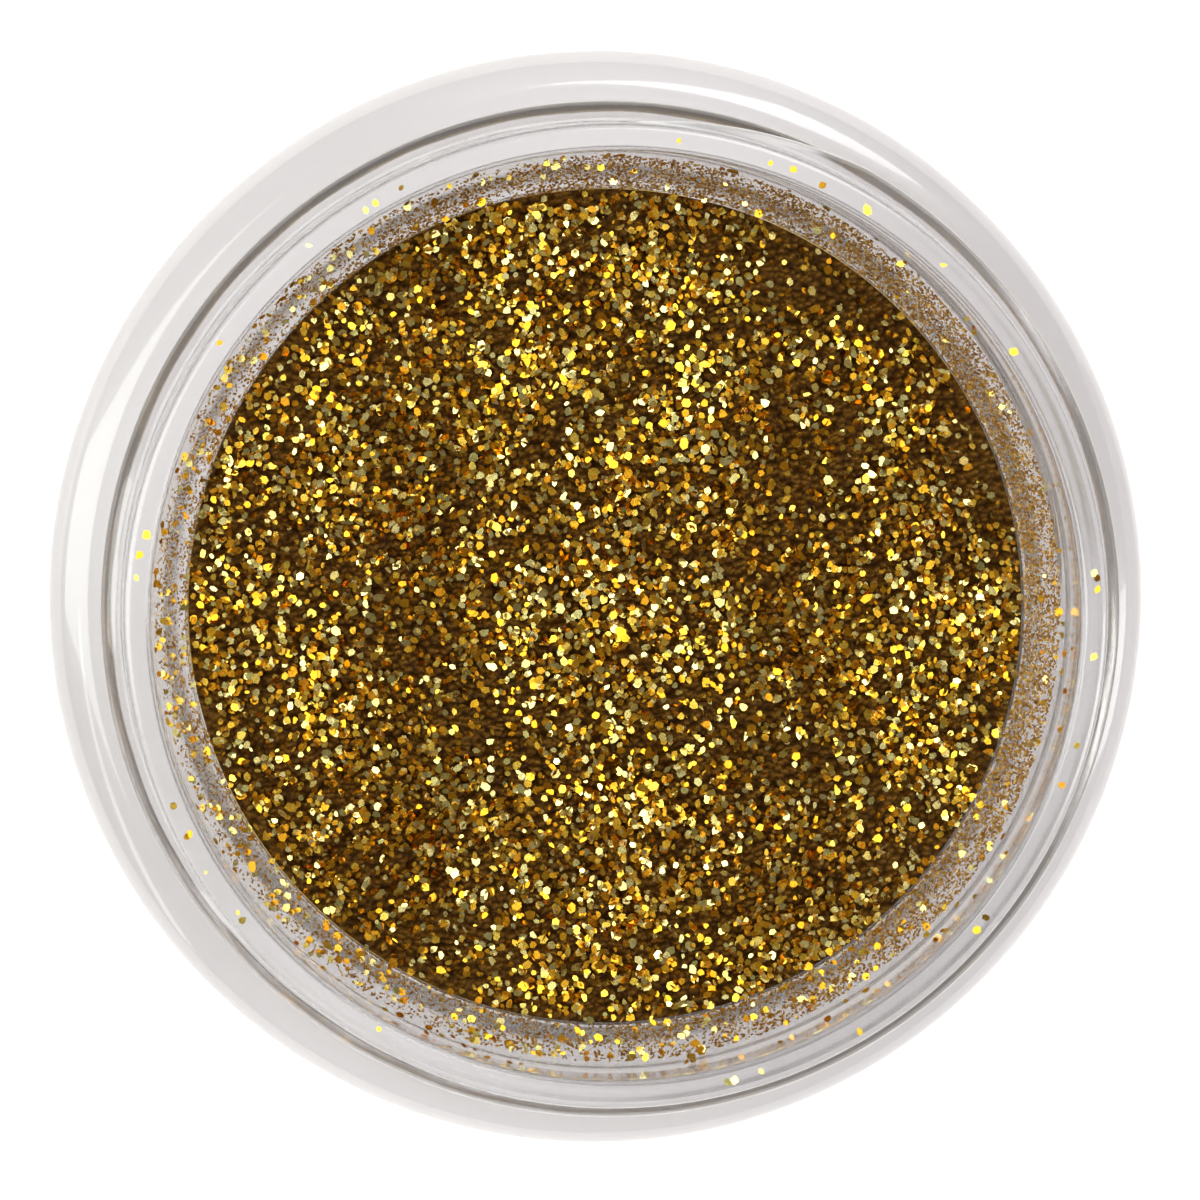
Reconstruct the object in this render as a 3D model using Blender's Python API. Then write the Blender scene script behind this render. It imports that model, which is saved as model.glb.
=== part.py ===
"""A squat clear sample pot filled with gold flake, with its ribbed screw cap lying upside down beside it.

Metres, +Z up. The origin is the middle of the pot's base. The cap lies on the surface that the pot stands on,
top face down, so its open side and liner face up.
"""

from math import cos, pi, sin, sqrt

import bmesh
import bpy
from mathutils import Vector

MM = 0.001

# Pot: one clear moulding, a thick-walled body with a screw neck. A 45 degree flare joins well and mouth.
POT_R = 15.0 * MM
FOOT_ROUND = 1.6 * MM
SHOULDER_Z = 7.2 * MM
SHOULDER_ROUND = 1.1 * MM
NECK_R = 13.1 * MM
RIM_Z = 14.5 * MM
LIP_ROUND = 0.2 * MM
MOUTH_R = 12.35 * MM
MOUTH_FOOT_ROUND = 0.4 * MM
WELL_R = 11.3 * MM
WELL_TOP_Z = 10.2 * MM
WELL_TOP_ROUND = 0.3 * MM
WELL_FLOOR_Z = 2.0 * MM
WELL_ROUND = 3.0 * MM

# Thread: one right-handed start of the same pitch on the neck and in the cap.
THREAD_PITCH = 3.0 * MM
THREAD_TURNS = 1.25
THREAD_WIDTH = 1.3 * MM
THREAD_FLANK = 0.55
THREAD_ENDS_PER_TURN = 12
NECK_THREAD_HEIGHT = 0.55 * MM
NECK_THREAD_Z = RIM_Z - 5.2 * MM

# Gold flake: the loose flake as one settled heap, just clear of the well.
FILL_GAP = 0.3 * MM
FILL_Z = 10.4 * MM
FILL_EDGE_ROUND = 0.4 * MM
FILL_WAVE = 0.2 * MM

# Cap: a ribbed shell with a foam liner, lying upside down.
CAP_R = 15.0 * MM
CAP_RIB_DEPTH = 0.3 * MM
CAP_RIBS = 60
CAP_H = 9.2 * MM
CAP_PLATE = 1.4 * MM
CAP_EDGE_ROUND = 0.9 * MM
CAP_PANEL_R = 10.8 * MM
CAP_PANEL_DEPTH = 0.25 * MM
CAP_ROOT_R = 14.0 * MM
CAP_THREAD_HEIGHT = 0.65 * MM
CAP_THREAD_Z = CAP_H - 4.9 * MM
LINER_R = 13.2 * MM
LINER_T = 1.0 * MM
LINER_GAP = 0.25 * MM
CAP_X = 38.0 * MM

# The cap is turned over about this line to come down on the rim, with a hair of room above it.
CAP_REST_GAP = 0.3 * MM
FLIP_X = CAP_X / 2
FLIP_Z = (RIM_Z + CAP_REST_GAP + CAP_H) / 2

POT_SEGMENTS = 96
CAP_SEGMENTS = 2 * CAP_RIBS
FILL_SEGMENTS = 60
LINER_SEGMENTS = 60
ROUND_STEPS = 4
THREAD_ROWS = 20


def clear_scene():
    for thing in list(bpy.data.objects):
        bpy.data.objects.remove(thing, do_unlink=True)


def arc(centre_r, centre_z, radius, start_deg, end_deg, steps=ROUND_STEPS):
    """Profile points along an arc, both ends included; 0 degrees points outwards and 90 degrees up."""
    points = []
    for step in range(steps + 1):
        angle = (start_deg + (end_deg - start_deg) * step / steps) * pi / 180
        points.append((centre_r + radius * cos(angle), centre_z + radius * sin(angle)))
    return points


def column(radius, z_from, z_to, rows):
    """Profile points up or down a straight wall, without its two ends."""
    return [(radius, z_from + (z_to - z_from) * row / rows) for row in range(1, rows)]


def ridge(theta, z, low_z, height):
    """Height of the right-handed thread ridge at this angle and level; its helix climbs from low_z."""
    tallest = 0.0
    for lap in range(int(THREAD_TURNS) + 1):
        turned_by = theta / (2 * pi) + lap
        if turned_by > THREAD_TURNS:
            continue
        off = abs(z - low_z - THREAD_PITCH * turned_by) / (THREAD_WIDTH / 2)
        flank = min(1.0, max(0.0, (1 - off) / THREAD_FLANK))
        ends = min(1.0, THREAD_ENDS_PER_TURN * min(turned_by, THREAD_TURNS - turned_by))
        tallest = max(tallest, height * flank * ends)
    return tallest


def turned(name, profile, segments, shape=None):
    """One closed body turned about Z. The profile starts and ends on the axis and runs anticlockwise.

    shape(r, z, theta) may move a point of a ring, as a thread, a rib or an uneven surface does.
    """
    shape = shape or (lambda r, z, theta: (r, z))
    mesh = bmesh.new()
    first = mesh.verts.new((0, 0, profile[0][1]))
    rings = []
    for r, z in profile[1:-1]:
        ring = []
        for step in range(segments):
            theta = 2 * pi * step / segments
            radius, level = shape(r, z, theta)
            ring.append(mesh.verts.new((radius * cos(theta), radius * sin(theta), level)))
        rings.append(ring)
    last = mesh.verts.new((0, 0, shape(0.0, profile[-1][1], 0.0)[1]))
    for step in range(segments):
        after = (step + 1) % segments
        mesh.faces.new((first, rings[0][after], rings[0][step]))
        for lower, upper in zip(rings, rings[1:]):
            mesh.faces.new((lower[step], lower[after], upper[after], upper[step]))
        mesh.faces.new((last, rings[-1][step], rings[-1][after]))
    data = bpy.data.meshes.new(name)
    mesh.to_mesh(data)
    mesh.free()
    data.shade_smooth()
    data.set_sharp_from_angle(angle=30 * pi / 180)
    piece = bpy.data.objects.new(name, data)
    bpy.context.scene.collection.objects.link(piece)
    return piece


def material(name, colour, roughness, metallic=0.0, transmission=0.0):
    made = bpy.data.materials.new(name)
    made.use_nodes = True
    shader = made.node_tree.nodes["Principled BSDF"]
    shader.inputs["Base Color"].default_value = (*colour, 1)
    shader.inputs["Roughness"].default_value = roughness
    shader.inputs["Metallic"].default_value = metallic
    shader.inputs["Transmission Weight"].default_value = transmission
    return made


def pot():
    """Flat base, thick wall, rounded shoulder, threaded neck, thin flat rim, and a mouth that flares."""
    neck_foot_z = SHOULDER_Z + LIP_ROUND
    neck_top_z = RIM_Z - LIP_ROUND
    mouth_foot_z = WELL_TOP_Z + MOUTH_R - WELL_R + (sqrt(2) - 1) * (MOUTH_FOOT_ROUND + WELL_TOP_ROUND)
    profile = [
        (0, 0),
        *arc(POT_R - FOOT_ROUND, FOOT_ROUND, FOOT_ROUND, -90, 0),
        *arc(POT_R - SHOULDER_ROUND, SHOULDER_Z - SHOULDER_ROUND, SHOULDER_ROUND, 0, 90, 5),
        (NECK_R + LIP_ROUND, SHOULDER_Z),
        (NECK_R, neck_foot_z),
        *column(NECK_R, neck_foot_z, neck_top_z, THREAD_ROWS),
        *arc(NECK_R - LIP_ROUND, neck_top_z, LIP_ROUND, 0, 90, 3),
        *arc(MOUTH_R + LIP_ROUND, neck_top_z, LIP_ROUND, 90, 180, 3),
        *arc(MOUTH_R - MOUTH_FOOT_ROUND, mouth_foot_z, MOUTH_FOOT_ROUND, 0, -45, 3),
        *arc(WELL_R + WELL_TOP_ROUND, WELL_TOP_Z, WELL_TOP_ROUND, 135, 180, 3),
        *arc(WELL_R - WELL_ROUND, WELL_FLOOR_Z + WELL_ROUND, WELL_ROUND, 0, -90),
        (0, WELL_FLOOR_Z),
    ]

    def threaded(r, z, theta):
        on_neck = r == NECK_R and neck_foot_z < z < neck_top_z
        return r + (ridge(theta, z, NECK_THREAD_Z, NECK_THREAD_HEIGHT) if on_neck else 0.0), z

    piece = turned("pot_body", profile, POT_SEGMENTS, threaded)
    piece.data.materials.append(material("clear_plastic", (0.92, 0.92, 0.90), 0.05, transmission=1.0))


def gold():
    """The heap of flake, with a gently uneven top, as one solid."""
    low, side_r = WELL_FLOOR_Z + FILL_GAP, WELL_R - FILL_GAP
    floor_round = WELL_ROUND - FILL_GAP
    top_r = side_r - FILL_EDGE_ROUND
    rings = 7
    profile = [
        (0, low),
        *arc(side_r - floor_round, low + floor_round, floor_round, -90, 0),
        *arc(top_r, FILL_Z - FILL_EDGE_ROUND, FILL_EDGE_ROUND, 0, 90, 3),
        *[(top_r * (rings - ring) / (rings + 1), FILL_Z) for ring in range(rings)],
        (0, FILL_Z),
    ]

    def heaped(r, z, theta):
        if z < FILL_Z or r >= top_r:
            return r, z
        x, y = r * cos(theta) / WELL_R, r * sin(theta) / WELL_R
        return r, z + FILL_WAVE * (0.5 * sin(3.1 * x + 0.7) + 0.5 * cos(2.7 * y - 0.4 + x))

    piece = turned("gold_flake_fill", profile, FILL_SEGMENTS, heaped)
    piece.data.materials.append(material("gold_flake", (0.80, 0.55, 0.16), 0.35, metallic=1.0))


def cap(axis):
    """Ribbed shell with a threaded skirt, upside down: its top face is at z = 0 and its open edge is up."""
    root_z = CAP_PLATE
    edge = CAP_EDGE_ROUND
    skirt_top = CAP_H - LIP_ROUND
    valley_r = CAP_R - CAP_RIB_DEPTH
    profile = [
        (0, CAP_PANEL_DEPTH),
        (CAP_PANEL_R, CAP_PANEL_DEPTH),
        (CAP_PANEL_R + CAP_PANEL_DEPTH, 0),
        *arc(valley_r - edge, edge, edge, -90, 0),
        (CAP_R, edge + CAP_RIB_DEPTH),
        (CAP_R, CAP_H - 3 * LIP_ROUND),
        (valley_r, CAP_H - 2 * LIP_ROUND),
        (valley_r, CAP_H),
        (CAP_ROOT_R + LIP_ROUND, CAP_H),
        (CAP_ROOT_R, skirt_top),
        *column(CAP_ROOT_R, skirt_top, root_z, THREAD_ROWS),
        (CAP_ROOT_R, root_z),
        (0, root_z),
    ]

    def ribbed(r, z, theta):
        if r == CAP_R:
            valley = round(theta * CAP_SEGMENTS / (2 * pi)) % 2
            return r - valley * CAP_RIB_DEPTH, z
        if r == CAP_ROOT_R and root_z < z < skirt_top:
            return r - ridge(theta, z, CAP_THREAD_Z, CAP_THREAD_HEIGHT), z
        return r, z

    piece = turned("cap_shell", profile, CAP_SEGMENTS, ribbed)
    piece.data.materials.append(material("white_polypropylene", (0.86, 0.86, 0.84), 0.35))
    piece.parent = axis


def liner(axis):
    """Foam disc that lies loose in the cap, on the inside of its top plate."""
    low = CAP_PLATE + LINER_GAP
    soft = 0.2 * LINER_T
    profile = [
        (0, low),
        (LINER_R - soft, low),
        (LINER_R, low + soft),
        (LINER_R, low + LINER_T - soft),
        (LINER_R - soft, low + LINER_T),
        (0, low + LINER_T),
    ]
    piece = turned("cap_liner", profile, LINER_SEGMENTS)
    piece.data.materials.append(material("foam", (0.80, 0.80, 0.78), 0.85))
    piece.parent = axis
    piece.location = Vector((CAP_X, 0, 0)) - axis.location


def joint_axis(name, x, z):
    """An empty on a joint's axis, which that joint's piece hangs from."""
    empty = bpy.data.objects.new(name, None)
    empty.location = (x, 0, z)
    bpy.context.scene.collection.objects.link(empty)
    return empty


clear_scene()
pot()
gold()
liner(joint_axis("cap_flip_axis", FLIP_X, FLIP_Z))
cap(joint_axis("cap_turn_axis", CAP_X, 0))
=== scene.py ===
"""Looks of the gold flake sample pot: the clear pot, its loose flake, and the cap with its liner beside it.

Metres, +Z up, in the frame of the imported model. Lengths are written in millimetres times MM.
"""

from math import cos, pi, radians, sin, sqrt, tau

import bpy
import numpy as np
from mathutils import Matrix, Vector


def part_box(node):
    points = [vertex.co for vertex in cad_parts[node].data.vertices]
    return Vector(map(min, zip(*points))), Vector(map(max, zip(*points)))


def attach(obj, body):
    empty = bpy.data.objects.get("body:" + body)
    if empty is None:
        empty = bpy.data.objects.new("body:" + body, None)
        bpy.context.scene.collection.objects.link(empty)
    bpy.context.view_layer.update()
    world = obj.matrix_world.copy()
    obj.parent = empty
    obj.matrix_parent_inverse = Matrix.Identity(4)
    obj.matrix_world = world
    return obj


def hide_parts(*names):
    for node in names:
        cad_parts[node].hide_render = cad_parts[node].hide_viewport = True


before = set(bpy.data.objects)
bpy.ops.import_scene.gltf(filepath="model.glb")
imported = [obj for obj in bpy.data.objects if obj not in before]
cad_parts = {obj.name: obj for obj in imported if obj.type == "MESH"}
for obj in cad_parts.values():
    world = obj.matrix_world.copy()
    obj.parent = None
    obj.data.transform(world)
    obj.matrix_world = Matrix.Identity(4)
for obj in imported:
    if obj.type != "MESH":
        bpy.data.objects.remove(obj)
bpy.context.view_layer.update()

MM = 0.001
POT_LOW, POT_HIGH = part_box("pot_body")
CAP_LOW, CAP_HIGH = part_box("cap_shell")
LINER_LOW, LINER_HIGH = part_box("cap_liner")

# Pot: outer radius and height come from the frame.
POT_R = POT_HIGH.x
RIM_Z = POT_HIGH.z
FOOT_ROUND = 1.6 * MM
SHOULDER_Z = 7.2 * MM
SHOULDER_ROUND = 1.1 * MM
NECK_R = 13.1 * MM
LIP_ROUND = 0.2 * MM
MOUTH_R = 12.35 * MM
MOUTH_FOOT_ROUND = 0.4 * MM
WELL_R = 11.3 * MM
WELL_TOP_Z = 10.2 * MM
WELL_TOP_ROUND = 0.3 * MM
WELL_FLOOR_Z = 2.0 * MM
WELL_ROUND = 3.0 * MM
MOUTH_FOOT_Z = WELL_TOP_Z + MOUTH_R - WELL_R + (sqrt(2) - 1) * (MOUTH_FOOT_ROUND + WELL_TOP_ROUND)

# Thread: one right-handed start on the neck and in the cap. A higher THREAD_CREST gives a broader crest.
THREAD_PITCH = 3.0 * MM
THREAD_TURNS = 1.25
THREAD_WIDTH = 1.3 * MM
THREAD_CREST = 1.6
THREAD_FADE = 1 / 12
NECK_THREAD_HEIGHT = 0.55 * MM
NECK_THREAD_Z = RIM_Z - 5.2 * MM

# Flake: thin six-sided platelets at every slant in the heap's top layer, over a bed that fills the well, with
# dust on the sloping ring and single flakes there, on the mouth's wall and on the rim. HEAP_FLAKES and
# DUST_FLAKES are the counts before some are left out to make the cover uneven.
BED_GAP = 0.04 * MM
FILL_Z = 10.4 * MM
FILL_EDGE_ROUND = 0.4 * MM
FILL_WAVE = 0.2 * MM
BED_SINK = 0.40 * MM
# Above BED_SHADE_Z the bed carries painted shade; over BED_SHADE_DEPTH below it, that gives way to painted
# light on the bed's side.
BED_SHADE_Z = FILL_Z - BED_SINK - 0.6 * MM
BED_SHADE_DEPTH = 0.4 * MM
HEAP_FLAKES = 27000
HEAP_LAYER = 0.55 * MM
FLAKE_MIN = 0.13 * MM
FLAKE_MAX = 0.26 * MM
FLAKE_THICK = 0.012 * MM
FLAKE_SIDES = 6
FLAKE_PIECES = 4
FLARE_FLAKES = 420
STRAY_FLAKES = 120
STRAYS_ON_RIM = 0.3
DUST_FLAKES = 30000
DUST_SIZE = 0.08 * MM
DUST_SIDES = 4
SEED = 20

# Cap: radius and height come from the frame; it lies upside down.
CAP_X = (CAP_LOW.x + CAP_HIGH.x) / 2
CAP_R = (CAP_HIGH.x - CAP_LOW.x) / 2
CAP_H = CAP_HIGH.z
CAP_RIBS = 60
CAP_RIB_DEPTH = 0.3 * MM
CAP_PLATE = 1.4 * MM
CAP_EDGE_ROUND = 0.9 * MM
CAP_CORNER_ROUND = 0.4 * MM
CAP_PANEL_R = 10.8 * MM
CAP_PANEL_DEPTH = 0.25 * MM
CAP_ROOT_R = 14.0 * MM
CAP_THREAD_HEIGHT = 0.65 * MM
CAP_THREAD_Z = CAP_H - 4.9 * MM

# Liner: the rim has pressed a ring into it, which eases out over a short slope.
LINER_EDGE_ROUND = 0.22 * MM
LINER_PRESSED = 0.06 * MM
LINER_EASE = 0.15 * MM

POT_SEGMENTS = 256
CAP_SEGMENTS = 10 * CAP_RIBS
LINER_SEGMENTS = 160

# The Mix node's sockets share their names between its types; these are the places of its colour ones.
MIX_COLOUR_A, MIX_COLOUR_B, MIX_COLOUR_RESULT = 6, 7, 2

# Stage: the floor is a light table, so that it stays white while the gold stays dark. Reflections see the dim
# room, and the backdrop has the colour of the far floor.
FLOOR_HALF = 1.5
FLOOR_DROP = 0.05 * MM
FLOOR_GLOW = 0.6
ROOM = (1.0, 0.88, 0.76, 1)
ROOM_STRENGTH = 0.16
BACKDROP = (0.74, 0.74, 0.72, 1)
LIGHT_DISTANCE = 0.45

# Camera: almost straight above the pot, leaning back towards -X and +Y.
CAMERA_DISTANCE = 250 * MM
CAMERA_AIM = Vector((0.08 * MM, -0.05 * MM, SHOULDER_Z - SHOULDER_ROUND))
CAMERA_LEAN = radians(5.06)
CAMERA_LEAN_TOWARDS = radians(180 - 43.5)
SENSOR_MM = 36
LENS_MM = 273.6


def arc(centre_r, centre_z, radius, start_deg, end_deg, steps=10):
    """Profile points along an arc, both ends included; 0 degrees points outwards and 90 degrees up."""
    angles = np.radians(np.linspace(start_deg, end_deg, steps + 1))
    return [(centre_r + radius * cos(a), centre_z + radius * sin(a)) for a in angles]


def column(radius, z_from, z_to, rows):
    """Profile points along a straight wall, without its two ends."""
    return [(radius, z_from + (z_to - z_from) * row / rows) for row in range(1, rows)]


def spokes(radius_from, radius_to, z, count):
    """Profile points along a flat face, without its two ends."""
    return [(radius_from + (radius_to - radius_from) * step / count, z) for step in range(1, count)]


def ridge(theta, z, low_z, height):
    """Rounded thread ridge, for arrays of angle and level; its helix climbs from low_z."""
    tallest = np.zeros_like(z)
    for lap in range(int(THREAD_TURNS) + 1):
        turned_by = theta / tau + lap
        off = np.clip(np.abs(z - low_z - THREAD_PITCH * turned_by) / (THREAD_WIDTH / 2), 0, 1)
        ends = np.clip(np.minimum(turned_by, THREAD_TURNS - turned_by) / THREAD_FADE, 0, 1)
        rounded = 0.5 + 0.5 * np.cos(pi * off ** THREAD_CREST)
        tallest = np.maximum(tallest, height * rounded * ends)
    return tallest


def mesh_object(name, points, faces):
    data = bpy.data.meshes.new(name)
    data.from_pydata(points, [], faces)
    data.update()
    made = bpy.data.objects.new(name, data)
    bpy.context.scene.collection.objects.link(made)
    return made


def lathe(name, profile, segments, shape=None, centre_x=0.0):
    """Closed body turned about a vertical axis. The profile starts and ends on it and runs anticlockwise.

    shape(r, z, theta) takes and returns whole arrays, and moves ring points, as threads and ribs do.
    """
    profile = np.array(profile)
    theta, z = np.meshgrid(np.arange(segments) * tau / segments, profile[1:-1, 1])
    r = np.repeat(profile[1:-1, :1], segments, axis=1)
    if shape:
        r, z = shape(r, z, theta)
    points = np.stack([r * np.cos(theta) + centre_x, r * np.sin(theta), z], axis=-1).reshape(-1, 3)
    poles = [(centre_x, 0, profile[0, 1]), (centre_x, 0, profile[-1, 1])]
    here = np.arange(len(points)).reshape(r.shape)
    after = np.roll(here, -1, axis=1)
    quads = np.stack([here[:-1], after[:-1], after[1:], here[1:]], axis=-1).reshape(-1, 4)
    first, last = len(points), len(points) + 1
    faces = [tuple(map(int, quad)) for quad in quads]
    faces += [(first, int(b), int(a)) for a, b in zip(here[0], after[0])]
    faces += [(last, int(a), int(b)) for a, b in zip(here[-1], after[-1])]
    made = mesh_object(name, [*map(tuple, points), *poles], faces)
    made.data.shade_smooth()
    return made


def shader_of(name):
    """A new node material, with its tree and its Principled BSDF."""
    made = bpy.data.materials.new(name)
    made.use_nodes = True
    return made, made.node_tree, made.node_tree.nodes["Principled BSDF"]


def node(tree, kind, **settings):
    """Adds a node; a setting whose name is an input's name sets that input."""
    made = tree.nodes.new(kind)
    for key, value in settings.items():
        if key in made.inputs:
            made.inputs[key].default_value = value
        else:
            setattr(made, key, value)
    return made


def noise(tree, scale, detail=2.0, roughness=0.5):
    """Noise laid out in the object's own space."""
    place = node(tree, "ShaderNodeTexCoord")
    made = node(tree, "ShaderNodeTexNoise", Scale=scale, Detail=detail, Roughness=roughness)
    tree.links.new(place.outputs["Object"], made.inputs["Vector"])
    return made.outputs["Fac"]


def spread(tree, value, low, high):
    """value, from 0 to 1, spread from low to high."""
    made = node(tree, "ShaderNodeMapRange")
    made.inputs["To Min"].default_value = low
    made.inputs["To Max"].default_value = high
    tree.links.new(value, made.inputs["Value"])
    return made.outputs["Result"]


def ramp(tree, value, *stops):
    """Colour ramp of (position, colour) stops."""
    made = node(tree, "ShaderNodeValToRGB")
    elements = made.color_ramp.elements
    while len(elements) < len(stops):
        elements.new(0.5)
    for element, (position, colour) in zip(elements, stops):
        element.position = position
        element.color = (*colour, 1)
    tree.links.new(value, made.inputs["Fac"])
    return made.outputs["Color"]


def bump(tree, shader, height, strength, distance):
    made = node(tree, "ShaderNodeBump", Strength=strength, Distance=distance)
    tree.links.new(height, made.inputs["Height"])
    tree.links.new(made.outputs["Normal"], shader.inputs["Normal"])


def clear_plastic():
    """Thick clear moulding, hazy under a glossy skin; light passes through it to what is inside."""
    made, tree, shader = shader_of("clear_plastic")
    shader.inputs["Base Color"].default_value = (0.64, 0.62, 0.63, 1)
    shader.inputs["Transmission Weight"].default_value = 0.90
    shader.inputs["IOR"].default_value = 1.52
    shader.inputs["Coat Weight"].default_value = 0.7
    shader.inputs["Coat Roughness"].default_value = 0.03
    tree.links.new(spread(tree, noise(tree, 260, 3), 0.14, 0.24), shader.inputs["Roughness"])
    bump(tree, shader, noise(tree, 180, 2), 0.25, 0.05 * MM)
    shadow = node(tree, "ShaderNodeBsdfTransparent", Color=(0.80, 0.80, 0.80, 1))
    path = node(tree, "ShaderNodeLightPath")
    mix = node(tree, "ShaderNodeMixShader")
    tree.links.new(path.outputs["Is Shadow Ray"], mix.inputs["Fac"])
    tree.links.new(shader.outputs["BSDF"], mix.inputs[1])
    tree.links.new(shadow.outputs["BSDF"], mix.inputs[2])
    tree.links.new(mix.outputs["Shader"], tree.nodes["Material Output"].inputs["Surface"])
    return made


def flake_gold():
    """Bright leaf: each flake has its own tone, from pale yellow through orange to olive."""
    made, tree, shader = shader_of("gold_flake")
    island = node(tree, "ShaderNodeNewGeometry").outputs["Random Per Island"]
    tone = ramp(tree, island,
                (0.00, (0.72, 0.30, 0.015)),
                (0.35, (0.88, 0.47, 0.03)),
                (0.60, (0.90, 0.63, 0.09)),
                (0.80, (0.92, 0.80, 0.34)),
                (1.00, (0.70, 0.64, 0.22)))
    tree.links.new(tone, shader.inputs["Base Color"])
    shader.inputs["Metallic"].default_value = 1.0
    tree.links.new(spread(tree, noise(tree, 6000, 2), 0.18, 0.34), shader.inputs["Roughness"])
    bump(tree, shader, noise(tree, 9000, 2), 0.25, 0.01 * MM)
    return made


def dust_gold():
    """Fine dust of broken flake: browner and duller than the flakes."""
    made, tree, shader = shader_of("gold_dust")
    island = node(tree, "ShaderNodeNewGeometry").outputs["Random Per Island"]
    tone = ramp(tree, island,
                (0.0, (0.26, 0.11, 0.008)),
                (0.6, (0.50, 0.25, 0.025)),
                (1.0, (0.80, 0.56, 0.20)))
    tree.links.new(tone, shader.inputs["Base Color"])
    shader.inputs["Metallic"].default_value = 0.7
    tree.links.new(spread(tree, noise(tree, 9000, 2), 0.40, 0.65), shader.inputs["Roughness"])
    bump(tree, shader, noise(tree, 14000, 2), 0.3, 0.01 * MM)
    return made


def bed_gold_painted_shade_and_light():
    """The flake below the top ones: painted shade on top, darker towards the edges of its cells, and painted
    light where it lies against the clear wall.
    """
    made, tree, shader = shader_of("gold_bed")
    place = node(tree, "ShaderNodeTexCoord")
    cells = node(tree, "ShaderNodeTexVoronoi", Scale=5200)
    tree.links.new(place.outputs["Object"], cells.inputs["Vector"])
    chance = node(tree, "ShaderNodeSeparateColor")
    tree.links.new(cells.outputs["Color"], chance.inputs["Color"])
    level = node(tree, "ShaderNodeSeparateXYZ")
    tree.links.new(place.outputs["Object"], level.inputs["Vector"])
    # Mask of the painted shade: 1 on the bed's top, 0 on its side.
    painted_shade_mask = node(tree, "ShaderNodeMapRange")
    painted_shade_mask.inputs["From Min"].default_value = BED_SHADE_Z - BED_SHADE_DEPTH
    painted_shade_mask.inputs["From Max"].default_value = BED_SHADE_Z
    tree.links.new(level.outputs["Z"], painted_shade_mask.inputs["Value"])
    # Painted shade: the bed's top is dark where it shows between the flakes. Painted light: its side, below
    # BED_SHADE_Z, is bright gold where it lies against the clear wall.
    shaded = ramp(tree, cells.outputs["Distance"], (0.0, (0.20, 0.09, 0.008)), (0.8, (0.05, 0.02, 0.002)))
    lit = ramp(tree, chance.outputs["Red"],
               (0.0, (0.55, 0.28, 0.02)),
               (0.5, (0.95, 0.62, 0.07)),
               (1.0, (1.00, 0.85, 0.30)))
    mix = node(tree, "ShaderNodeMix", data_type="RGBA")
    tree.links.new(painted_shade_mask.outputs["Result"], mix.inputs["Factor"])
    tree.links.new(lit, mix.inputs[MIX_COLOUR_A])
    tree.links.new(shaded, mix.inputs[MIX_COLOUR_B])
    tree.links.new(mix.outputs[MIX_COLOUR_RESULT], shader.inputs["Base Color"])
    shader.inputs["Metallic"].default_value = 0.85
    shader.inputs["Roughness"].default_value = 0.45
    bump(tree, shader, cells.outputs["Distance"], 0.9, 0.12 * MM)
    return made


def white_polypropylene():
    """Satin moulded polypropylene: faint cloudiness and a fine grain."""
    made, tree, shader = shader_of("white_polypropylene")
    tone = ramp(tree, noise(tree, 140, 4), (0.3, (0.80, 0.80, 0.78)), (0.7, (0.87, 0.87, 0.86)))
    tree.links.new(tone, shader.inputs["Base Color"])
    tree.links.new(spread(tree, noise(tree, 900, 3), 0.28, 0.44), shader.inputs["Roughness"])
    shader.inputs["Subsurface Weight"].default_value = 0.12
    shader.inputs["Subsurface Radius"].default_value = (1.0 * MM, 1.0 * MM, 0.9 * MM)
    bump(tree, shader, noise(tree, 3200, 3), 0.15, 0.02 * MM)
    return made


def foam():
    """Fine closed-cell foam with a skin of small pores."""
    made, tree, shader = shader_of("foam")
    place = node(tree, "ShaderNodeTexCoord")
    pores = node(tree, "ShaderNodeTexVoronoi", Scale=2600)
    tree.links.new(place.outputs["Object"], pores.inputs["Vector"])
    tone = ramp(tree, pores.outputs["Distance"], (0.0, (0.66, 0.66, 0.63)), (0.5, (0.80, 0.80, 0.77)))
    tree.links.new(tone, shader.inputs["Base Color"])
    shader.inputs["Roughness"].default_value = 0.85
    bump(tree, shader, pores.outputs["Distance"], 0.6, 0.06 * MM)
    return made


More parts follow.
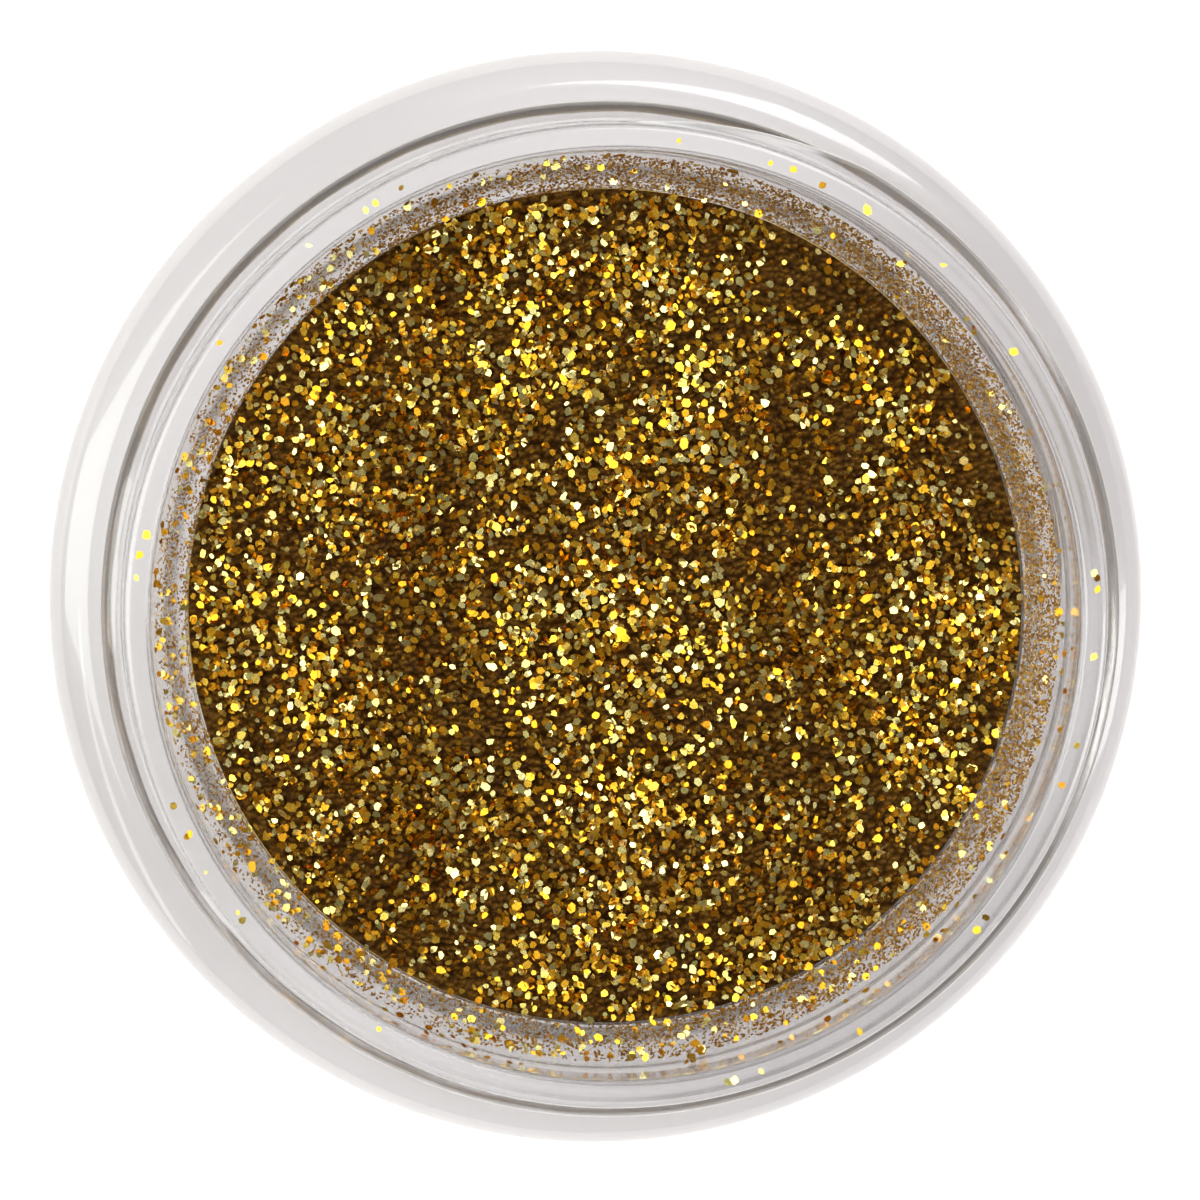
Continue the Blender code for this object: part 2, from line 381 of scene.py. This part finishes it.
def pot():
    """The clear moulding, as one thick-walled body."""
    neck_foot_z = SHOULDER_Z + LIP_ROUND
    neck_top_z = RIM_Z - LIP_ROUND
    profile = [
        (0, 0),
        *spokes(0, POT_R - FOOT_ROUND, 0, 8),
        *arc(POT_R - FOOT_ROUND, FOOT_ROUND, FOOT_ROUND, -90, 0),
        *column(POT_R, FOOT_ROUND, SHOULDER_Z - SHOULDER_ROUND, 6),
        *arc(POT_R - SHOULDER_ROUND, SHOULDER_Z - SHOULDER_ROUND, SHOULDER_ROUND, 0, 90, 14),
        *arc(NECK_R + LIP_ROUND, neck_foot_z, LIP_ROUND, 270, 180, 5),
        *column(NECK_R, neck_foot_z, neck_top_z, 64),
        *arc(NECK_R - LIP_ROUND, neck_top_z, LIP_ROUND, 0, 90, 6),
        *spokes(NECK_R - LIP_ROUND, MOUTH_R + LIP_ROUND, RIM_Z, 4),
        *arc(MOUTH_R + LIP_ROUND, neck_top_z, LIP_ROUND, 90, 180, 6),
        *column(MOUTH_R, neck_top_z, MOUTH_FOOT_Z, 8),
        *arc(MOUTH_R - MOUTH_FOOT_ROUND, MOUTH_FOOT_Z, MOUTH_FOOT_ROUND, 0, -45, 8),
        *arc(WELL_R + WELL_TOP_ROUND, WELL_TOP_Z, WELL_TOP_ROUND, 135, 180, 6),
        *column(WELL_R, WELL_TOP_Z, WELL_FLOOR_Z + WELL_ROUND, 10),
        *arc(WELL_R - WELL_ROUND, WELL_FLOOR_Z + WELL_ROUND, WELL_ROUND, 0, -90),
        *spokes(WELL_R - WELL_ROUND, 0, WELL_FLOOR_Z, 8),
        (0, WELL_FLOOR_Z),
    ]

    def threaded(r, z, theta):
        on_neck = np.isclose(r, NECK_R) & (z > neck_foot_z) & (z < neck_top_z)
        return r + np.where(on_neck, ridge(theta, z, NECK_THREAD_Z, NECK_THREAD_HEIGHT), 0), z

    piece = lathe("pot_clear", profile, POT_SEGMENTS, threaded)
    piece.data.materials.append(clear_plastic())
    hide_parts("pot_body")
    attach(piece, "pot")


def heap_height(x, y):
    """Level of the heap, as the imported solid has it, a little higher towards +X and +Y."""
    u, v = x / WELL_R, y / WELL_R
    wave = 0.5 * np.sin(3.1 * u + 0.7) + 0.5 * np.cos(2.7 * v - 0.4 + u)
    lumps = 0.5 * np.sin(19 * u + 3 * np.sin(5 * v)) * np.sin(17 * v + 1)
    small_lumps = 0.4 * np.sin(41 * u + 2) * np.cos(37 * v + u)
    return FILL_Z + FILL_WAVE * (wave + lumps + small_lumps)


def gold_bed():
    """The body of the heap, which shows only between the flakes."""
    low, side_r = WELL_FLOOR_Z + BED_GAP, WELL_R - BED_GAP
    floor_round = WELL_ROUND - BED_GAP
    top_r = side_r - FILL_EDGE_ROUND
    profile = [
        (0, low),
        *arc(side_r - floor_round, low + floor_round, floor_round, -90, 0),
        *column(side_r, low + floor_round, FILL_Z - FILL_EDGE_ROUND, 14),
        *arc(top_r, FILL_Z - FILL_EDGE_ROUND, FILL_EDGE_ROUND, 0, 90, 5),
        *spokes(top_r, 0, FILL_Z, 60),
        (0, FILL_Z - BED_SINK),
    ]

    def heaped(r, z, theta):
        level = heap_height(r * np.cos(theta), r * np.sin(theta)) - BED_SINK
        inside = np.isclose(z, FILL_Z) & (r < top_r)
        return r, np.where(inside, level, np.minimum(z, FILL_Z - BED_SINK))

    piece = lathe("gold_bed", profile, 240, heaped)
    piece.data.materials.append(bed_gold_painted_shade_and_light())
    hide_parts("gold_flake_fill")
    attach(piece, "pot")


def turned_to(normals, spin):
    """Two unit vectors across each normal, turned about it by spin."""
    helper = np.where(np.abs(normals[:, :1]) < 0.9, [[1.0, 0, 0]], [[0, 1.0, 0]])
    across = np.cross(normals, helper)
    across /= np.linalg.norm(across, axis=1, keepdims=True)
    along = np.cross(normals, across)
    c, s = np.cos(spin)[:, None], np.sin(spin)[:, None]
    return across * c + along * s, along * c - across * s


def tilted(random, normals, lean):
    """normals, each leaned by a random angle of about that spread, in radians."""
    leaned = normals + np.tan(lean)[:, None] * random.normal(size=normals.shape) * 0.7
    return leaned / np.linalg.norm(leaned, axis=1, keepdims=True)


def clumps(x, y):
    """Uneven packing of the heap, from about -1 where it is thin to 1 where it is thick."""
    u, v = x / WELL_R, y / WELL_R
    broad = np.sin(6.1 * u + 2.3 * np.sin(3.7 * v + 1)) * np.cos(5.3 * v - 1.7 * np.sin(4.1 * u))
    fine = np.sin(27 * u + 3 * np.sin(11 * v)) * np.cos(23 * v + 2 * np.sin(13 * u))
    return 0.6 * broad + 0.4 * fine


def heap_flakes(random):
    """Places and normals of the heap's top layer of flakes, which lie and stand at every slant.

    Towards +X and +Y, at the edge, they lie thinner and face outwards, so that the bed's painted shade shows
    through there as a painted shadow along that edge.
    """
    r = (WELL_R - 0.10 * MM) * np.sqrt(random.random(HEAP_FLAKES))
    theta = tau * random.random(HEAP_FLAKES)
    x, y = r * np.cos(theta), r * np.sin(theta)
    painted_shadow_edge = np.clip((x + y) / sqrt(2) / WELL_R - 0.72, 0, 1)
    packed = clumps(x, y)
    # Painted shadow: fewer flakes along the +X, +Y edge let the bed's painted shade show there.
    cover = np.clip(0.74 + 0.55 * packed - 1.8 * painted_shadow_edge, 0.14, 1)
    kept = random.random(HEAP_FLAKES) < cover
    x, y, packed, painted_shadow_edge = x[kept], y[kept], packed[kept], painted_shadow_edge[kept]
    count = len(x)
    z = heap_height(x, y) + (0.05 + 0.06 * packed) * MM - HEAP_LAYER * random.random(count)
    lean = np.where(random.random(count) < 0.75, 1.45, 0.70) * random.random(count)
    away = 1.6 * painted_shadow_edge
    drift = np.stack([0.3 * np.sin(700 * y) + away, 0.3 * np.cos(600 * x) + away, np.ones(count)], axis=1)
    drift /= np.linalg.norm(drift, axis=1, keepdims=True)
    return np.stack([x, y, z], axis=1), tilted(random, drift, lean)


def on_flare(theta, climb, clear):
    """Places on the sloping ring above the heap, climb going from 0 at its foot to 1 at its top."""
    low_r, high_r = WELL_R + 0.05 * MM, MOUTH_R - 0.12 * MM
    r = low_r + (high_r - low_r) * climb
    z = WELL_TOP_Z + r - WELL_R + (sqrt(2) - 1) * WELL_TOP_ROUND
    r, z = r - clear / sqrt(2), z + clear / sqrt(2)
    return np.stack([r * np.cos(theta), r * np.sin(theta), z], axis=1)


def flare_flakes(random):
    """Single flakes that cling to the sloping ring, most of them towards -X and -Y."""
    theta = radians(215) + radians(75) * random.normal(size=FLARE_FLAKES)
    clear = (0.08 + 0.05 * random.random(FLARE_FLAKES)) * MM
    places = on_flare(theta, random.random(FLARE_FLAKES) ** 0.8, clear)
    up = np.tile([-0.25, 0, 1.0], (FLARE_FLAKES, 1))
    return places, tilted(random, up, 0.6 * random.random(FLARE_FLAKES))


def stray_flakes(random):
    """Single flakes on the rim's flat top and on the mouth's wall."""
    theta = tau * random.random(STRAY_FLAKES)
    on_rim = random.random(STRAY_FLAKES) < STRAYS_ON_RIM
    rim_r = (MOUTH_R + NECK_R) / 2 + 0.2 * MM * (random.random(STRAY_FLAKES) - 0.5)
    r = np.where(on_rim, rim_r, MOUTH_R - 0.14 * MM)
    wall_z = MOUTH_FOOT_Z + (RIM_Z - MOUTH_FOOT_Z - LIP_ROUND) * random.random(STRAY_FLAKES) ** 2
    z = np.where(on_rim, RIM_Z + 0.04 * MM, wall_z)
    inward = np.stack([-np.cos(theta), -np.sin(theta), np.full_like(theta, 0.6)], axis=1)
    inward /= np.linalg.norm(inward, axis=1, keepdims=True)
    normals = np.where(on_rim[:, None], [[-0.25, 0, 1.0]], inward)
    places = np.stack([r * np.cos(theta), r * np.sin(theta), z], axis=1)
    return places, tilted(random, normals, 0.2 * random.random(STRAY_FLAKES))


def dust(random):
    """Places and normals of the dust smeared up the sloping ring, thickest and highest towards +X and +Y."""
    theta = tau * random.random(DUST_FLAKES)
    climb = random.random(DUST_FLAKES)
    towards = 0.5 + 0.5 * np.cos(theta - radians(20))
    streaks = 0.16 * np.sin(23 * theta + 2 * np.sin(5 * theta)) + 0.12 * np.sin(57 * theta + 1)
    patches = 0.25 * np.sin(9 * theta + 7 * climb) + streaks
    cover = np.clip(1.2 * towards ** 1.5 + 0.45 + patches - (0.50 - 0.4 * towards) * climb, 0.30, 1)
    kept = random.random(DUST_FLAKES) < cover
    theta, climb = theta[kept], climb[kept]
    places = on_flare(theta, climb, (0.05 + 0.07 * random.random(len(theta))) * MM)
    slope = np.stack([-np.cos(theta), -np.sin(theta), np.ones_like(theta)], axis=1) / sqrt(2)
    return places, tilted(random, slope, 0.5 * random.random(len(theta)))


def flake_mesh(name, random, places, normals, sides, smallest, largest):
    """One piece of many flakes: each a closed flat polygon with a shallow point below, in its own UV cell."""
    count = len(places)
    across, along = turned_to(normals, tau * random.random(count))
    half = (smallest + (largest - smallest) * random.random(count))[:, None] / 2
    stretch = (0.55 + 0.75 * random.random(count))[:, None]
    turns = [side * tau / sides for side in range(sides)]
    corners = []
    for angle in turns:
        reach = half * (0.70 + 0.55 * random.random(count))[:, None]
        corners.append(places + reach * (cos(angle) * stretch * across + sin(angle) * along))
    corners.append(places - FLAKE_THICK * normals)
    points = np.stack(corners, axis=1).reshape(-1, 3)
    top = [tuple(range(sides))]
    below = [((side + 1) % sides, side, sides) for side in range(sides)]
    faces = [tuple((sides + 1) * flake + corner for corner in face)
             for flake in range(count) for face in top + below]
    piece = mesh_object(name, points.tolist(), faces)

    cells = int(np.ceil(np.sqrt(count)))
    flake = np.arange(count)
    middle = np.stack([flake % cells + 0.5, flake // cells + 0.5], axis=1)
    layout = [(cos(angle), sin(angle)) for angle in turns] + [(0.0, 0.0)]
    spots = (middle[:, None, :] + 0.42 * np.array(layout)[None]) / cells
    corner_of_loop = np.empty(len(piece.data.loops), np.int32)
    piece.data.loops.foreach_get("vertex_index", corner_of_loop)
    layer = piece.data.uv_layers.new(name="OFBake")
    layer.data.foreach_set("uv", spots.reshape(-1, 2)[corner_of_loop].astype(np.float32).ravel())
    return piece


def flakes():
    """All loose flakes, shared out at random among equal pieces, and the dust as a piece of its own."""
    random = np.random.default_rng(SEED)
    groups = [heap_flakes(random), flare_flakes(random), stray_flakes(random)]
    places = np.concatenate([group[0] for group in groups])
    normals = np.concatenate([group[1] for group in groups])
    order = random.permutation(len(places))
    gold = flake_gold()
    for number, chosen in enumerate(np.array_split(order, FLAKE_PIECES), 1):
        piece = flake_mesh(f"gold_flakes_{number}", random, places[chosen], normals[chosen],
                           FLAKE_SIDES, FLAKE_MIN, FLAKE_MAX)
        piece.data.materials.append(gold)
        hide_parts("gold_flake_fill")
        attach(piece, "pot")
    piece = flake_mesh("gold_dust", random, *dust(random), DUST_SIDES, 0.7 * DUST_SIZE, 1.3 * DUST_SIZE)
    piece.data.materials.append(dust_gold())
    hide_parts("gold_flake_fill")
    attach(piece, "pot")


def cap():
    """Ribbed shell with a threaded skirt, upside down."""
    edge, corner = CAP_EDGE_ROUND, CAP_CORNER_ROUND
    valley_r = CAP_R - CAP_RIB_DEPTH
    skirt_top = CAP_H - LIP_ROUND
    profile = [
        (0, CAP_PANEL_DEPTH),
        *spokes(0, CAP_PANEL_R, CAP_PANEL_DEPTH, 6),
        (CAP_PANEL_R, CAP_PANEL_DEPTH),
        (CAP_PANEL_R + CAP_PANEL_DEPTH, 0),
        *spokes(CAP_PANEL_R + CAP_PANEL_DEPTH, valley_r - edge, 0, 4),
        *arc(valley_r - edge, edge, edge, -90, 0),
        *column(valley_r, edge, skirt_top, 16),
        *arc(valley_r - LIP_ROUND, skirt_top, LIP_ROUND, 0, 90, 4),
        *arc(CAP_ROOT_R + LIP_ROUND, skirt_top, LIP_ROUND, 90, 180, 4),
        *column(CAP_ROOT_R, skirt_top, CAP_PLATE + corner, 40),
        *arc(CAP_ROOT_R - corner, CAP_PLATE + corner, corner, 0, -90, 4),
        *spokes(CAP_ROOT_R - corner, 0, CAP_PLATE, 6),
        (0, CAP_PLATE),
    ]

    def ribbed(r, z, theta):
        outside = np.isclose(r, valley_r) & (z >= edge)
        fade = np.clip((z - edge) / (0.5 * MM), 0, 1) * np.clip((skirt_top - z) / (0.6 * MM), 0, 1)
        rib = CAP_RIB_DEPTH * np.abs(np.cos(CAP_RIBS * theta / 2)) ** 1.5
        inside = np.isclose(r, CAP_ROOT_R) & (z < skirt_top)
        thread = ridge(theta, z, CAP_THREAD_Z, CAP_THREAD_HEIGHT)
        return r + np.where(outside, rib * fade, 0) - np.where(inside, thread, 0), z

    piece = lathe("cap_ribbed", profile, CAP_SEGMENTS, ribbed, CAP_X)
    piece.data.set_sharp_from_angle(angle=radians(38))
    piece.data.materials.append(white_polypropylene())
    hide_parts("cap_shell")
    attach(piece, "cap")


def liner():
    """Foam disc, with the faint ring that the pot's rim has pressed into it."""
    radius = (LINER_HIGH.x - LINER_LOW.x) / 2
    soft, pressed, ease = LINER_EDGE_ROUND, LINER_PRESSED, LINER_EASE
    rim_inner, rim_outer = MOUTH_R + LIP_ROUND, NECK_R - LIP_ROUND
    low, high = LINER_LOW.z, LINER_HIGH.z
    profile = [
        (0, low),
        *arc(radius - soft, low + soft, soft, -90, 0, 5),
        *arc(radius - soft, high - soft, soft, 0, 90, 5),
        (rim_outer, high - pressed),
        (rim_inner, high - pressed),
        (rim_inner - ease, high),
        *spokes(rim_inner - ease, 0, high, 10),
        (0, high),
    ]
    piece = lathe("liner_foam", profile, LINER_SEGMENTS, None, CAP_X)
    piece.data.materials.append(foam())
    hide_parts("cap_liner")
    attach(piece, "liner")


def floor():
    half, level = FLOOR_HALF, POT_LOW.z - FLOOR_DROP
    corners = [(-half, -half, level), (half, -half, level), (half, half, level), (-half, half, level)]
    piece = mesh_object("floor", corners, [(0, 1, 2, 3)])
    made, tree, shader = shader_of("floor")
    shader.inputs["Base Color"].default_value = (0.92, 0.92, 0.92, 1)
    shader.inputs["Roughness"].default_value = 0.9
    shader.inputs["Emission Color"].default_value = (1, 1, 1, 1)
    shader.inputs["Emission Strength"].default_value = FLOOR_GLOW
    piece.data.materials.append(made)


def direction(azimuth_deg, elevation_deg):
    """Unit vector from the pot; azimuth 0 is +X and 90 is +Y."""
    azimuth, elevation = radians(azimuth_deg), radians(elevation_deg)
    return Vector((cos(azimuth) * cos(elevation), sin(azimuth) * cos(elevation), sin(elevation)))


def softbox(name, start, end, width, power, colour=(1, 1, 1)):
    """Long rectangular light that faces the pot, and runs from one direction to the other."""
    first, last = LIGHT_DISTANCE * start, LIGHT_DISTANCE * end
    middle = (first + last) / 2
    along = (last - first).normalized()
    facing = (middle - middle.dot(along) * along).normalized()
    light = bpy.data.lights.new(name, "AREA")
    light.shape = "RECTANGLE"
    light.size, light.size_y = (last - first).length, width
    light.energy = power
    light.color = colour
    lamp = bpy.data.objects.new(name, light)
    turned = Matrix((along, facing.cross(along), facing)).transposed()
    lamp.matrix_world = Matrix.Translation(middle) @ turned.to_4x4()
    bpy.context.scene.collection.objects.link(lamp)


def lights():
    softbox("window", direction(175, 82), direction(175, 16), 0.15, 0.85, (0.96, 1.0, 0.95))
    softbox("window_strip", direction(190, 60), direction(224, 6), 0.035, 0.16)
    softbox("back", direction(75, 70), direction(55, 40), 0.12, 0.45)
    softbox("right", direction(340, 55), direction(350, 20), 0.12, 0.50)


def room():
    """Dim warm surroundings for the reflections, behind a pale backdrop that carries on from the floor."""
    world = bpy.data.worlds.new("room")
    world.use_nodes = True
    tree = world.node_tree
    dim = tree.nodes["Background"]
    dim.inputs["Color"].default_value = ROOM
    dim.inputs["Strength"].default_value = ROOM_STRENGTH
    backdrop = node(tree, "ShaderNodeBackground", Color=BACKDROP)
    path = node(tree, "ShaderNodeLightPath")
    mix = node(tree, "ShaderNodeMixShader")
    tree.links.new(path.outputs["Is Camera Ray"], mix.inputs["Fac"])
    tree.links.new(dim.outputs["Background"], mix.inputs[1])
    tree.links.new(backdrop.outputs["Background"], mix.inputs[2])
    tree.links.new(mix.outputs["Shader"], tree.nodes["World Output"].inputs["Surface"])
    bpy.context.scene.world = world


def camera():
    data = bpy.data.cameras.new("camera")
    data.sensor_width = SENSOR_MM
    data.lens = LENS_MM
    data.clip_start = 0.01
    made = bpy.data.objects.new("camera", data)
    lean, towards = CAMERA_LEAN, CAMERA_LEAN_TOWARDS
    back = Vector((sin(lean) * cos(towards), sin(lean) * sin(towards), cos(lean)))
    right = Vector((0, 1, 0)).cross(back).normalized()
    up = back.cross(right)
    made.matrix_world = Matrix.Translation(CAMERA_AIM + CAMERA_DISTANCE * back) @ Matrix(
        (right, up, back)).transposed().to_4x4()
    bpy.context.scene.collection.objects.link(made)
    bpy.context.scene.camera = made


camera()
pot()
gold_bed()
flakes()
cap()
liner()
floor()
lights()
room()
bpy.context.scene.view_settings.view_transform = "Standard"
